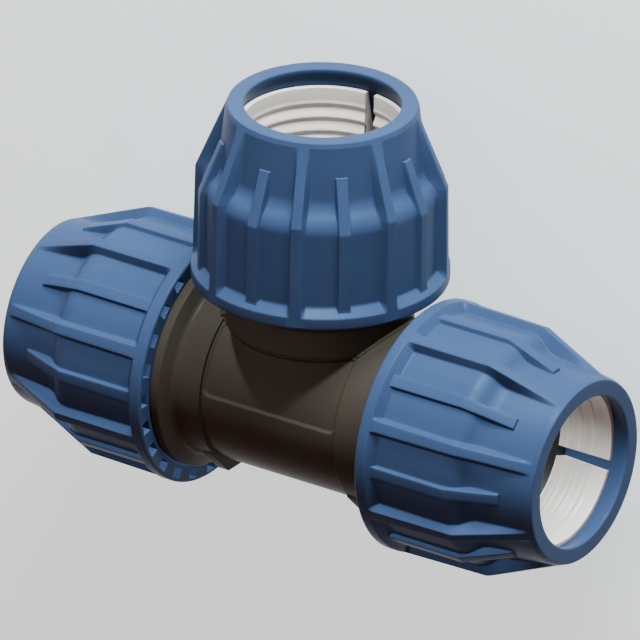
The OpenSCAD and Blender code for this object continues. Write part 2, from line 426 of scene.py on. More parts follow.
class NodeTree:
    """A geometry node tree with named inputs, written one node at a time."""

    def __init__(self, name: str, inputs: dict[str, tuple[str, Any]]) -> None:
        """Makes the tree.

        Args:
            name: Name of the tree.
            inputs: Socket kind and value of each input, by name.
        """
        self.tree = bpy.data.node_groups.new(name, "GeometryNodeTree")
        self.tree.interface.new_socket("Geometry", in_out="INPUT", socket_type="NodeSocketGeometry")
        self.tree.interface.new_socket("Geometry", in_out="OUTPUT", socket_type="NodeSocketGeometry")
        self.values = {n: v for n, (_, v) in inputs.items()}
        self.identifiers = {
            n: self.tree.interface.new_socket(n, in_out="INPUT", socket_type=kind).identifier
            for n, (kind, _) in inputs.items()
        }
        self.entry = self.tree.nodes.new("NodeGroupInput")

    def node(self, kind: str, settings: dict[str, Any] | None = None, **links: Any) -> bpy.types.Node:
        """Adds a node.

        Args:
            kind: The node's type.
            settings: Settings, made before the links.
            **links: Value or source socket for each input, by identifier or by name with _ for a space.

        Returns:
            The new node.
        """
        made = self.tree.nodes.new(kind)
        for key, value in (settings or {}).items():
            setattr(made, key, value)
        for key, value in links.items():
            names = ((s, (s.identifier, s.name, s.name.replace(" ", "_"))) for s in made.inputs if s.enabled)
            socket = next(s for s, known in names if key in known)
            for each in value if isinstance(value, list) else [value]:
                feed(self.tree, socket, each)
        return made

    def maths(self, operation: str, *terms: Any) -> bpy.types.NodeSocket:
        """Adds a Math node.

        Args:
            operation: What it works out.
            *terms: Values or source sockets of its inputs in order.

        Returns:
            Its result.
        """
        made = self.node("ShaderNodeMath", {"operation": operation})
        for socket, term in zip(made.inputs, terms):
            feed(self.tree, socket, term)
        return made.outputs[0]

    def end(self, geometry: bpy.types.NodeSocket) -> None:
        """Ends the tree in Realize Instances and Set Material.

        Args:
            geometry: The socket that holds the whole shape.
        """
        real = self.node("GeometryNodeRealizeInstances", Geometry=geometry)
        finish = self.entry.outputs["Material"]
        dressed = self.node("GeometryNodeSetMaterial", Geometry=real.outputs[0], Material=finish)
        leave = self.tree.nodes.new("NodeGroupOutput")
        self.tree.links.new(dressed.outputs[0], leave.inputs[0])

    def apply(self, mesh: bpy.types.Mesh, values: dict[str, Any]) -> bpy.types.Mesh:
        """Runs the tree on a mesh.

        Args:
            mesh: The mesh that the tree starts from. It is used up.
            values: Values of the inputs that differ from the tree's own.

        Returns:
            The result as a plain mesh.
        """
        carrier = bpy.data.objects.new(self.tree.name, mesh)
        modifier = carrier.modifiers.new(self.tree.name, "NODES")
        modifier.node_group = self.tree
        for name, value in (self.values | values).items():
            modifier[self.identifiers[name]] = value
        bpy.context.scene.collection.objects.link(carrier)
        result = baked(carrier)
        discard([carrier])
        return result


def ring_pattern() -> NodeTree:
    """Tree that mirrors a sector and repeats it round the arm's axis.

    Returns:
        The tree, with the inputs Count and Material.
    """
    tree = NodeTree("ring_pattern", {"Count": ("NodeSocketInt", 8), "Material": ("NodeSocketMaterial", None)})
    start, count = tree.entry.outputs["Geometry"], tree.entry.outputs["Count"]
    mirrored = tree.node("GeometryNodeTransform", Geometry=start, Scale=(1, -1, 1))
    flipped = tree.node("GeometryNodeFlipFaces", Mesh=mirrored.outputs[0])
    pair = tree.node("GeometryNodeJoinGeometry", Geometry=[start, flipped.outputs[0]])
    spots = tree.node("GeometryNodePoints", Count=count)
    order = tree.node("GeometryNodeInputIndex")
    step = tree.maths("DIVIDE", 2 * math.pi, count)
    turn = tree.node("ShaderNodeCombineXYZ", Z=tree.maths("MULTIPLY", order.outputs[0], step))
    round_axis = tree.node(
        "GeometryNodeInstanceOnPoints",
        Points=spots.outputs[0],
        Instance=pair.outputs[0],
        Rotation=turn.outputs[0],
    )
    real = tree.node("GeometryNodeRealizeInstances", Geometry=round_axis.outputs[0])
    closed = tree.node("GeometryNodeMergeByDistance", Geometry=real.outputs[0], Distance=2 * DOUBLES)
    tree.end(closed.outputs[0])
    return tree


def screw_wrap() -> NodeTree:
    """Tree that winds a straight strip into a right-hand screw thread.

    The strip's X is the angle in radians, its Y the place along the axis and its Z the height over the root.

    Returns:
        The tree, with the inputs Root radius, Height sign, Pitch, Start and Material.
    """
    tree = NodeTree(
        "screw_wrap",
        {
            "Root radius": ("NodeSocketFloat", SIZES.root_r * MM),
            "Height sign": ("NodeSocketFloat", 1.0),
            "Pitch": ("NodeSocketFloat", SIZES.pitch * MM),
            "Start": ("NodeSocketFloat", 0.0),
            "Material": ("NodeSocketMaterial", None),
        },
    )
    sizes = tree.entry.outputs
    place = tree.node("GeometryNodeInputPosition")
    angle, across, height = tree.node("ShaderNodeSeparateXYZ", Vector=place.outputs[0]).outputs
    raised = tree.maths("MULTIPLY", height, sizes["Height sign"])
    radius = tree.maths("ADD", raised, sizes["Root radius"])
    turns = tree.maths("DIVIDE", angle, 2 * math.pi)
    rise = tree.maths("MULTIPLY", turns, sizes["Pitch"])
    along = tree.maths("ADD", tree.maths("ADD", rise, across), sizes["Start"])
    wound = tree.node(
        "ShaderNodeCombineXYZ",
        X=tree.maths("MULTIPLY", radius, tree.maths("COSINE", angle)),
        Y=tree.maths("MULTIPLY", radius, tree.maths("SINE", angle)),
        Z=along,
    )
    moved = tree.node("GeometryNodeSetPosition", Geometry=sizes["Geometry"], Position=wound.outputs[0])
    tree.end(moved.outputs[0])
    return tree


# Finishes


class Signal:
    """A value in a shader tree that can be used in an expression."""

    def __init__(self, shader: "Shader", socket: bpy.types.NodeSocket) -> None:
        """Wraps an output socket of the shader's tree."""
        self.shader = shader
        self.socket = socket

    def _with(self, operation: str, *terms: Any) -> "Signal":
        """Adds a Math node over this value and others."""
        return self.shader.node("ShaderNodeMath", {"operation": operation}, *terms)

    def __add__(self, other: Any) -> "Signal":
        """This value plus another."""
        return self._with("ADD", self, other)

    def __radd__(self, other: Any) -> "Signal":
        """Another value plus this one."""
        return self._with("ADD", other, self)

    def __sub__(self, other: Any) -> "Signal":
        """This value less another."""
        return self._with("SUBTRACT", self, other)

    def __rsub__(self, other: Any) -> "Signal":
        """Another value less this one."""
        return self._with("SUBTRACT", other, self)

    def __mul__(self, other: Any) -> "Signal":
        """This value times another."""
        return self._with("MULTIPLY", self, other)

    def __rmul__(self, other: Any) -> "Signal":
        """Another value times this one."""
        return self._with("MULTIPLY", other, self)


class Shader:
    """A material whose node tree is written with expressions."""

    def __init__(self, name: str) -> None:
        """Makes an empty material with a surface output.

        Args:
            name: Name of the material.
        """
        self.material = bpy.data.materials.new(name)
        self.material.use_nodes = True
        self.tree = self.material.node_tree
        self.tree.nodes.clear()
        self.surface = self.tree.nodes.new("ShaderNodeOutputMaterial").inputs["Surface"]
        self.place = self.node("ShaderNodeTexCoord", out="Object")

    def node(
        self, kind: str, settings: dict[str, Any] | None = None, *terms: Any, out: int | str = 0, **links: Any
    ) -> Signal:
        """Adds any node.

        Args:
            kind: The node's type.
            settings: Settings, made first. The key stops holds a ramp's stops as (place, colour).
            *terms: Values or signals for the inputs in order.
            out: Index or name of the output that is given back.
            **links: Values or signals for inputs by name, with _ for a space.

        Returns:
            The chosen output.
        """
        made = self.tree.nodes.new(kind)
        for key, value in (settings or {}).items():
            if key == "stops":
                elements = made.color_ramp.elements
                while len(elements) < len(value):
                    elements.new(1.0)
                for element, (place, colour) in zip(elements, value):
                    element.position, element.color = place, (*colour, 1.0)
            else:
                setattr(made, key, value)
        open_inputs = [s for s in made.inputs if s.enabled]
        named = {s.name.replace(" ", "_"): s for s in reversed(open_inputs)}
        pairs = list(zip(open_inputs, terms)) + [(named[name], value) for name, value in links.items()]
        for socket, value in pairs:
            feed(self.tree, socket, value)
        return Signal(self, made.outputs[out])

    def noise(self, scale: float, detail: float = 3.0, roughness: float = 0.5) -> Signal:
        """Noise over the piece, in its own coordinates.

        Args:
            scale: Waves per metre.
            detail: Number of finer layers.
            roughness: Share of the finer layers.

        Returns:
            The noise, from 0 to 1.
        """
        settings = {"Scale": scale, "Detail": detail, "Roughness": roughness}
        return self.node("ShaderNodeTexNoise", None, Vector=self.place, **settings)

    def ramp(self, value: Signal, low: float, high: float) -> Signal:
        """Straight ramp of a value, held at both ends.

        Args:
            value: The value.
            low: Where the ramp is 0.
            high: Where it is 1.

        Returns:
            The ramp, from 0 to 1.
        """
        limits = {"From_Min": low, "From_Max": high, "To_Min": 0.0, "To_Max": 1.0}
        return self.node("ShaderNodeMapRange", {"clamp": True}, Value=value, **limits)

    def mix(self, share: Signal | float, first: Any, second: Any) -> Signal:
        """Mixes two colours.

        Args:
            share: Share of the second one.
            first: First colour, or the signal that gives it.
            second: Second colour, or the signal that gives it.

        Returns:
            The mixed colour.
        """
        made = self.tree.nodes.new("ShaderNodeMix")
        made.data_type = "RGBA"
        for identifier, value in (("Factor_Float", share), ("A_Color", first), ("B_Color", second)):
            socket = next(s for s in made.inputs if s.identifier == identifier)
            feed(self.tree, socket, (*value, 1.0) if isinstance(value, tuple) else value)
        return Signal(self, next(s for s in made.outputs if s.identifier == "Result_Color"))

    def soft_normal(self, height: Signal, depth: float, edge: float) -> Signal:
        """Normal with moulded relief and softened edges.

        Args:
            height: Relief from 0 to 1.
            depth: Height of the relief in metres.
            edge: Radius of the softened edges in metres, or 0.

        Returns:
            The normal.
        """
        links: dict[str, Any] = {"Height": height, "Distance": depth, "Strength": 1.0}
        if edge > 0:
            links["Normal"] = self.node("ShaderNodeBevel", {"samples": 6}, Radius=edge)
        return self.node("ShaderNodeBump", None, **links)

    def plastic(
        self, base: Signal, rough: Signal, normal: Signal, constants: dict[str, Any]
    ) -> bpy.types.Material:
        """Ends the material in a plastic surface.

        Args:
            base: Its colour.
            rough: Its roughness.
            normal: Its normal.
            constants: Settings that are the same all over, made on the surface's own sockets.

        Returns:
            The material.
        """
        surface = self.node("ShaderNodeBsdfPrincipled", None, Base_Color=base, Roughness=rough, Normal=normal)
        for name, value in constants.items():
            surface.socket.node.inputs[name].default_value = value
        self.tree.links.new(surface.socket, self.surface)
        return self.material


@dataclass(frozen=True)
class MouldedPlastic:
    """Injection moulded plastic with a faint grain, slight flow marks and handling scuffs.

    Attributes:
        name: Name of the material.
        base: Linear colour.
        deep: Colour in the darker flow marks.
        scuffed: Colour of faint scuffs.
        roughness: Mean roughness.
        grain: Height of the grain in metres.
        edge: Radius to which edges are softened, in metres.
        constants: Settings that are the same all over.
        flow_scale: Waves per metre of the flow marks.
        flow_limits: Noise at which the marks are darkest, and at which there are none.
        flow_dulling: Change of roughness over the flow marks.
        scuff_scale: Waves per metre of the scuffs.
        scuff_limits: Noise at which scuffs start, and at which they are full.
        scuff_share: How far a scuff changes the colour.
        scuff_dulling: Rise of roughness in a scuff.
        fine_scale: Waves per metre of the finer part of the grain.
        fine_share: Its share of the grain's height.
        coarse_scale: Waves per metre of the coarser part.
    """

    name: str
    base: Colour
    deep: Colour
    scuffed: Colour
    roughness: float = 0.4
    grain: float = 3e-6
    edge: float = 0.0
    constants: dict[str, Any] = field(default_factory=dict)
    flow_scale: float = 28.0
    flow_limits: Point = (0.35, 0.7)
    flow_dulling: float = 0.10
    scuff_scale: float = 160.0
    scuff_limits: Point = (0.6, 0.78)
    scuff_share: float = 0.22
    scuff_dulling: float = 0.06
    fine_scale: float = 1500.0
    fine_share: float = 0.6
    coarse_scale: float = 420.0

    def material(self) -> bpy.types.Material:
        """Builds the material.

        Returns:
            The new material.
        """
        shader = Shader(self.name)
        flow = shader.noise(self.flow_scale, 4.0, 0.55)
        cloud = shader.ramp(flow, *self.flow_limits)
        scuffs = shader.ramp(shader.noise(self.scuff_scale, 5.0, 0.7), *self.scuff_limits)
        tint = shader.mix(cloud, self.deep, self.base)
        tint = shader.mix(scuffs * self.scuff_share, tint, self.scuffed)
        rough = self.roughness + (flow - 0.5) * self.flow_dulling + scuffs * self.scuff_dulling
        fine, coarse = shader.noise(self.fine_scale, 2.0), shader.noise(self.coarse_scale)
        height = fine * self.fine_share + coarse * (1 - self.fine_share)
        normal = shader.soft_normal(height, self.grain, self.edge)
        return shader.plastic(tint, rough, normal, self.constants)


class Finish(Enum):
    """The finishes of the tee, by piece."""

    NUT = MouldedPlastic(
        "blue_polypropylene",
        base=(0.026, 0.044, 0.096),
        deep=(0.0235, 0.040, 0.088),
        scuffed=(0.034, 0.054, 0.110),
        roughness=0.36,
        constants={"Specular IOR Level": 0.045, "Specular Tint": (0.5, 0.72, 1.0, 1.0)},
    )
    BODY = MouldedPlastic(
        "black_polypropylene",
        base=(0.034, 0.0275, 0.0222),
        deep=(0.030, 0.0242, 0.0196),
        scuffed=(0.043, 0.036, 0.031),
        roughness=0.36,
        grain=4e-6,
        edge=0.0009,
        constants={"Specular IOR Level": 0.035, "Specular Tint": (1.0, 0.88, 0.8, 1.0)},
    )
    SPLIT_RING = MouldedPlastic(
        "white_acetal",
        base=(0.53, 0.475, 0.44),
        deep=(0.49, 0.435, 0.40),
        scuffed=(0.40, 0.37, 0.34),
        roughness=0.38,
        edge=0.0004,
        constants={"Subsurface Weight": 0.12, "Subsurface Scale": 0.002},
    )
    THRUST_RING = MouldedPlastic(
        "dark_polypropylene",
        base=(0.014, 0.012, 0.011),
        deep=(0.011, 0.010, 0.009),
        scuffed=(0.03, 0.028, 0.026),
        roughness=0.45,
        edge=0.0004,
    )
    SEAL = MouldedPlastic(
        "black_rubber",
        base=(0.012, 0.012, 0.012),
        deep=(0.009, 0.009, 0.009),
        scuffed=(0.02, 0.02, 0.02),
        roughness=0.62,
    )

    def material(self) -> bpy.types.Material:
        """The material of this finish, made once."""
        return bpy.data.materials.get(self.value.name) or self.value.material()


# Screw threads


@dataclass
class ScrewThread:
    """One start of a right-hand thread, as a strip that is wound round the arm.

    Attributes:
        radius: Radius of the wall that carries the ridge, in millimetres.
        outward: Whether the ridge stands outwards.
        start: Place of its first point along the arm.
        turns: Number of turns.
        depth: Height of the ridge.
        crest: Width of its crest.
        foot: Width of its foot.
        sunk: How far it reaches into the wall.
        bevel: Width and height of the bevel on each side of the crest.
        fade: Part of a turn over which each end rises out of the wall.
        swell: Exponent of that rise. Below 1 it is steep at first.
        steps: Number of flats in a turn.
    """

    radius: float
    outward: bool
    start: float
    turns: float
    depth: float = 2.6
    crest: float = 1.1
    foot: float = 3.1
    sunk: float = 0.25
    bevel: Point = (0.15, 0.1)
    fade: float = 0.35
    swell: float = 0.7
    steps: int = 48

    def strip(self) -> bpy.types.Mesh:
        """Builds the straight strip, with ends that fade into the wall.

        Returns:
            The strip, with its angle along X, its width along Y and its height along Z.
        """
        half_crest, half_foot = self.crest / 2, self.foot / 2
        right = [
            (half_crest, self.depth),
            (half_crest + self.bevel[0], self.depth - self.bevel[1]),
            (half_foot, 0.0),
            (half_foot, -self.sunk),
        ]
        section = [(-y, h) for y, h in reversed(right)] + right
        count = int(self.turns * self.steps)
        rings = []
        for k in range(count + 1):
            turn = k / self.steps
            share = min(1.0, turn / self.fade, (self.turns - turn) / self.fade)
            rise = max(0.0, share) ** self.swell
            heights = [(y, h * rise if h > 0 else h) for y, h in section]
            rings.append([(2 * math.pi * turn, y * MM, h * MM) for y, h in heights])
        return plain_mesh(tube(rings), "thread_strip")

    def mesh(self, wrap: NodeTree, material: bpy.types.Material) -> bpy.types.Mesh:
        """Winds the strip.

        Args:
            wrap: The tree that winds it.
            material: Material of the ridge.

        Returns:
            The ridge in the arm's own axes, in metres.
        """
        values = {
            "Root radius": self.radius * MM,
            "Height sign": 1.0 if self.outward else -1.0,
            "Start": self.start * MM,
            "Material": material,
        }
        return wrap.apply(self.strip(), values)


# Nuts


@dataclass(frozen=True)
class Rib:
    """Cross section of one kind of rib on a nut, in millimetres.

    Attributes:
        widths: Widths of its crest at the flange, the shoulder and the mouth.
        draft: How far each wall slopes out down to its foot.
        top: Rounding of its crest.
        foot: Rounding at its foot.
        height: Its height at the flange.
    """

    widths: tuple[float, float, float]
    draft: float
    top: float
    foot: float
    height: float

    def columns(self, z: float) -> list[Point]:
        """Columns over one side of the rib.

        Args:
            z: Place along the arm.

        Returns:
            Distance from the middle of the rib and share of its height, from the crest outwards.
        """
        half = float(np.interp(z, (SIZES.nut_rear, SIZES.shoulder, SIZES.mouth), self.widths)) / 2
        edge, wall = half - self.top, half + self.draft
        crest = arc((edge, self.height - self.top), self.top, 90, 15, 3)
        foot = arc((wall + self.foot, self.foot), self.foot, 195, 270, 4)
        return [(0.0, 1.0), (edge * 0.55, 1.0)] + [(u, h / self.height) for u, h in crest + foot]

    def side(self, z: float, panel: float, crest: float) -> list[Point]:
        """One side of the rib round the arm.

        Args:
            z: Place along the arm.
            panel: Radius of the panel there.
            crest: Radius of the crest there.

        Returns:
            Angle from the middle of the rib and radius, from the crest outwards.
        """
        radii = [(u, panel + (crest - panel) * share) for u, share in self.columns(z)]
        return [(math.asin(u / r), r) for u, r in radii]


@dataclass
class ScrewNut:
    """The ribbed nut: a flange with pockets, main and small ribs, sunk S-shaped panels and a cone.

    Half of one of eight equal sectors is built, from the middle of a main rib to the middle of a small
    one. Sizes are in millimetres, and the rows of the half sector run once round its section.

    Attributes:
        main_rib: Section of a main rib.
        small_rib: Section of a small rib.
        small_step: Height of the step that ends a small rib.
        steep: Steepest slope of a panel in degrees.
        shallow: Slope of a panel on the cone in degrees.
        bend: Radius of both bends of a panel.
        straight: Length of the straight piece between them.
        shoulder_round: Rounding of the bend in a main rib's crest.
        small_round: Rounding of the bend in a small rib's crest.
        shelf_rounds: Roundings of the flange's edge and at the foot of its shelf.
        flange_round: Rounding of the flange's rear edge.
        pocket_w: Width of a pocket in the rear face.
        pocket_h: Its height, out from the axis.
        pocket_depth: Its depth.
        pocket_wall: Points of its rounded wall as (distance outside it, share of its depth).
        rear_round: Rounding of the rear bore's edge.
        rim_round: Rounding of the mouth's outer edge.
        rim_inset: Width at each side of the mouth's face over which its points even out.
        mouth_round: Rounding of the mouth's inner edge.
        lip: Length of the plain bore between the taper and that rounding.
        collar_room: Start and end, past the collar, of the step from the rear bore to the thread's bore.
        taper_lead: Length of the taper behind the split ring.
        thread_turns: Turns of the thread in the bore.
        ribs: Number of main ribs, and of small ones.
        row_gap: A row of the outer face that is nearer than this to the one before is left out.
        sharp: Edges steeper than this angle in degrees stay crisp.
    """

    main_rib: Rib = Rib((5.3, 4.5, 4.1), 0.85, 0.5, 0.8, SIZES.flange_r - SIZES.panel_r)
    small_rib: Rib = Rib((5.2, 4.9, 4.6), 0.2, 0.4, 0.5, SIZES.small_r - SIZES.panel_r)
    small_step: float = 1.1
    steep: float = 45.0
    shallow: float = 7.0
    bend: float = 10.0
    straight: float = 0.9
    shoulder_round: float = 2.0
    small_round: float = 3.0
    shelf_rounds: Point = (0.7, 1.3)
    flange_round: float = 1.1
    pocket_w: float = 5.4
    pocket_h: float = 4.0
    pocket_depth: float = 4.6
    pocket_wall: tuple[Point, ...] = ((0.15, 0.0), (0.03, 0.03), (-0.03, 0.97), (-0.2, 1.0))
    rear_round: float = 0.3
    rim_round: float = 0.6
    rim_inset: float = 1.6
    mouth_round: float = 0.7
    lip: float = 1.4
    collar_room: Point = (0.7, 1.4)
    taper_lead: float = 0.6
    thread_turns: float = 5.0
    ribs: int = 8
    row_gap: float = 0.05
    sharp: float = 38.0

    @property
    def half_angle(self) -> float:
        """Angle of the half sector in radians."""
        return math.pi / self.ribs

    def bend_places(self) -> tuple[float, float, float]:
        """Finds the two bends of a panel.

        Returns:
            Start of the convex bend, start of the concave bend and its end.
        """
        steep, shallow = math.radians(self.steep), math.radians(self.shallow)
        top_r = self.crest_cone(SIZES.panel_end)
        end_r = (
            SIZES.panel_r
            - self.bend * (1 - math.cos(steep))
            - self.straight * math.sin(steep)
            - self.bend * (math.cos(shallow) - math.cos(steep))
        )
        end = SIZES.panel_end - (end_r - top_r) / math.tan(shallow)
        middle = end - self.bend * (math.sin(steep) - math.sin(shallow))
        start = middle - self.straight * math.cos(steep) - self.bend * math.sin(steep)
        return start, middle, end

    def crest_cone(self, z: float) -> float:
        """Radius at a place of the straight cone that the crests of the main ribs and the mouth follow."""
        share = (z - SIZES.shoulder) / (SIZES.mouth - SIZES.shoulder)
        return SIZES.shoulder_r + (SIZES.mouth_r - SIZES.shoulder_r) * share

    def main_outline(self) -> list[Point]:
        """Crest of a main rib.

        Returns:
            Points as (radius, place) from the flange to the mouth.
        """
        return rounded([
            (SIZES.flange_r, SIZES.nut_rear, 0),
            (SIZES.shoulder_r, SIZES.shoulder, self.shoulder_round),
            (SIZES.mouth_r, SIZES.mouth, 0),
        ])

    def panel_outline(self) -> list[Point]:
        """Middle of a panel.

        Returns:
            Points as (radius, place) from the flange down its shelf and its two bends to the mouth.
        """
        start, _, end = self.bend_places()
        steep, shallow = math.radians(self.steep), math.radians(self.shallow)
        shelf = rounded([
            (SIZES.flange_r, SIZES.nut_rear, 0),
            (SIZES.flange_r, SIZES.shelf_start, self.shelf_rounds[0]),
            (SIZES.panel_r, SIZES.shelf_end, self.shelf_rounds[1]),
            (SIZES.panel_r, start, 0),
        ])
        convex = arc((SIZES.panel_r - self.bend, start), self.bend, 0, self.steep, 12)
        low_r = convex[-1][0] - self.straight * math.sin(steep)
        middle = (low_r + self.bend * math.cos(steep), end + self.bend * math.sin(shallow))
        concave = arc(middle, self.bend, 180 + self.steep, 180 + self.shallow, 10)[1:]
        cone = [(self.crest_cone(SIZES.panel_end), SIZES.panel_end), (SIZES.mouth_r, SIZES.mouth)]
        return shelf[:-1] + convex + concave + cone

    def small_outline(self) -> Callable[[float], float]:
        """Crest of a small rib, which ends in a square step on the cone.

        Returns:
            A function from a place along the arm to the radius there.
        """
        panel = radius_at(self.panel_outline())
        end_r = panel(SIZES.small_end) + self.small_step
        crest = radius_at(rounded([
            (SIZES.small_r, SIZES.nut_rear, 0),
            (SIZES.small_r, SIZES.small_bend, self.small_round),
            (end_r, SIZES.small_end, 0),
        ]))
        return lambda z: max(panel(z), crest(z)) if z < SIZES.small_end + 0.1 else panel(z)

    def places(self) -> list[float]:
        """Places of the rows of the outer face, close together where it bends.

        Returns:
            The places along the arm, in order.
        """
        start, middle, end = self.bend_places()
        corners = (
            (SIZES.shelf_start, (-1.2, -0.5, -0.3, -0.1, 0.1, 0.35, 0.8, 1.6)),
            (SIZES.shelf_end, (-0.9, -0.5, -0.2, 0.1, 0.4, 0.8, 1.4)),
            (SIZES.small_bend, (-0.6, 0.0, 0.6)),
            (SIZES.shoulder, (-0.9, -0.45, 0.0, 0.45, 0.9)),
            (SIZES.small_end, (-0.35, 0.0, 0.08, 0.25, 0.6)),
            (SIZES.panel_end, (-0.25, 0.0, 0.3)),
        )
        spans = (
            (SIZES.shelf_end + 4, start - 1.5, 6),
            (start, middle, 15),
            (middle, end, 12),
            (end + 1.2, SIZES.small_end - 1.2, 5),
            (SIZES.small_end + 2, SIZES.panel_end - 1, 5),
        )
        rows = [SIZES.nut_rear + self.flange_round, SIZES.mouth - self.rim_round]
        rows += [place + offset for place, offsets in corners for offset in offsets]
        rows += [z for low, high, count in spans for z in np.linspace(low, high, count)]
        rows.sort()
        return [z for before, z in zip([0.0] + rows, rows) if z - before > self.row_gap]

    def pocket_columns(self) -> list[Spot]:
        """Columns of the rear face over the pocket that is seen whole, and over the near wall of the next.

        Returns:
            Angle of the pocket in degrees, distance from its middle and share of its depth.
        """
        half = self.pocket_w / 2
        first, second = 180 / self.ribs / 3, 180 / self.ribs
        near = [(first, -half - d, s) for d, s in self.pocket_wall]
        floor = [(first, u, 1.0) for u in (-1.25, 0.0, 1.25)]
        far = [(a, -u, s) for a, u, s in reversed(near)]
        last = [(second, -half - d, s) for d, s in self.pocket_wall]
        return near + floor + far + last

    def rear_angles(self, r: float) -> list[float]:
        """Angles of the columns on the rear face, lined up with the pockets.

        Args:
            r: Radius on the rear face.

        Returns:
            The angles from the middle of the main rib, in radians.
        """
        edges = [math.radians(a) + math.asin(u / r) for a, u, _ in self.pocket_columns()]
        whole = len(edges) - len(self.pocket_wall)
        lead = list(np.linspace(0, edges[0], 5))[:-1]
        bridge = list(np.linspace(edges[whole - 1], edges[whole], 7))[1:-1]
        tail = list(np.linspace(edges[-1], self.half_angle, 4))[1:]
        return lead + edges[:whole] + bridge + edges[whole:] + tail

    def rear_depths(self) -> list[float]:
        """Depths of the columns on the rear face.

        Returns:
            Shares of the pockets' depth, as many as there are angles.
        """
        shares = [s for _, _, s in self.pocket_columns()]
        whole = len(shares) - len(self.pocket_wall)
        return [0.0] * 4 + shares[:whole] + [0.0] * 5 + shares[whole:] + [1.0] * 3

    def outer_row(self, z: float, main: float, panel: float, small: float) -> list[Point]:
        """One row of the outer face.

        Args:
            z: Its place along the arm.
            main: Radius of the main rib's crest there.
            panel: Radius of the panel there.
            small: Radius of the small rib's crest there.

        Returns:
            The row as (angle, radius), from the middle of the main rib to the middle of the small one.
        """
        row = self.main_rib.side(z, panel, main)
        side = [(self.half_angle - a, r) for a, r in self.small_rib.side(z, panel, small)]
        between = np.linspace(row[-1][0], side[-1][0], 7)[1:-1]
        return row + [(float(a), panel) for a in between] + side[::-1]

    def rows(self) -> list[list[Spot]]:
        """Puts the faces of the half sector together.

        Returns:
            All its rows as (angle, radius, place), once round its section.
        """
        main = radius_at(self.main_outline())
        panel = radius_at(self.panel_outline())
        small = self.small_outline()
        outer = [
            [(a, r, z) for a, r in self.outer_row(z, main(z), panel(z), small(z))] for z in self.places()
        ]
        target = self.rear_angles(SIZES.flange_r)
        for k, share in enumerate((1.0, 0.5)):
            outer[k] = [(a + (b - a) * share, r, z) for (a, r, z), b in zip(outer[k], target)]
        plain = [float(a) for a in np.linspace(0, self.half_angle, len(target))]
        inner = [[(a, r, z) for a in plain] for r, z in self.inner_outline()]
        last, edge = outer[-1], self.rim_round
        mouth_r = last[0][1]
        turn = arc((mouth_r - edge, SIZES.mouth - edge), edge, 30, 90, 2)
        rim = [[(a, r, z) for a, _, _ in last] for r, z in turn]
        face = [((a + b) / 2, mouth_r - self.rim_inset, SIZES.mouth) for (a, _, _), b in zip(last, plain)]
        return self.rear_rows() + outer + rim + [face] + inner[::-1]

    def rear_rows(self) -> list[list[Spot]]:
        """Rows of the rear face.

        Returns:
            The rows from its inner edge over the pockets to the rounded edge of the flange.
        """
        middle = (SIZES.nut_rear_r + SIZES.flange_r) / 2
        half = self.pocket_h / 2
        radii = [(SIZES.nut_rear_r + self.rear_round, 0.0), (SIZES.nut_rear_r + 0.9, 0.0)]
        radii += [(middle - half - d, s) for d, s in self.pocket_wall]
        radii += [(middle - 0.6, 1.0), (middle + 0.6, 1.0)]
        radii += [(middle + half + d, s) for d, s in reversed(self.pocket_wall)]
        rows = []
        for r, share in radii:
            columns = zip(self.rear_angles(r), self.rear_depths())
            rows.append([(a, r, SIZES.nut_rear + self.pocket_depth * share * d) for a, d in columns])
        edge = self.flange_round
        turn = arc((SIZES.flange_r - edge, SIZES.nut_rear + edge), edge, -90, 0, 5)
        return rows + [[(a, r, z) for a in self.rear_angles(SIZES.flange_r)] for r, z in turn]

    def inner_outline(self) -> list[Point]:
        """Bore of the nut.

        Returns:
            Points as (radius, place) from its rear edge to the rounded edge of its mouth.
        """
        taper_start = SIZES.ring_start - self.taper_lead
        slope = (SIZES.taper_thick_r - SIZES.taper_thin_r) / (SIZES.ring_end - SIZES.ring_start)
        taper_r = SIZES.taper_thick_r + slope * self.taper_lead
        r, lip_r = self.mouth_round, SIZES.socket_r
        bulge = 0.3 * self.rear_round  # How far the middle of a rounding stands off both faces
        points = [
            (SIZES.nut_rear_r + bulge, SIZES.nut_rear + bulge),
            (SIZES.nut_rear_r, SIZES.nut_rear + self.rear_round),
            (SIZES.nut_rear_r, SIZES.collar_end + self.collar_room[0]),
            (SIZES.nut_bore_r, SIZES.collar_end + self.collar_room[1]),
            (SIZES.nut_bore_r, taper_start - (SIZES.nut_bore_r - taper_r)),
            (taper_r, taper_start),
            (SIZES.taper_thin_r, SIZES.ring_end),
            (lip_r, SIZES.mouth - r - self.lip),
        ]
        turn = arc((lip_r + r, SIZES.mouth - r), r, 180, 90, 4)
        return points + turn + [(lip_r + self.rim_inset, SIZES.mouth)]

    def sector(self) -> bpy.types.Mesh:
        """Builds the half sector.

        Returns:
            Its mesh in metres, with the middle of the main rib on +X.
        """
        bm = bmesh.new()
        grid = [[bm.verts.new(polar(*spot)) for spot in row] for row in self.rows()]
        for k, low in enumerate(grid):
            high = grid[(k + 1) % len(grid)]
            for j in range(len(low) - 1):
                bm.faces.new((low[j], low[j + 1], high[j + 1], high[j]))
        return plain_mesh(bm, "nut_sector")

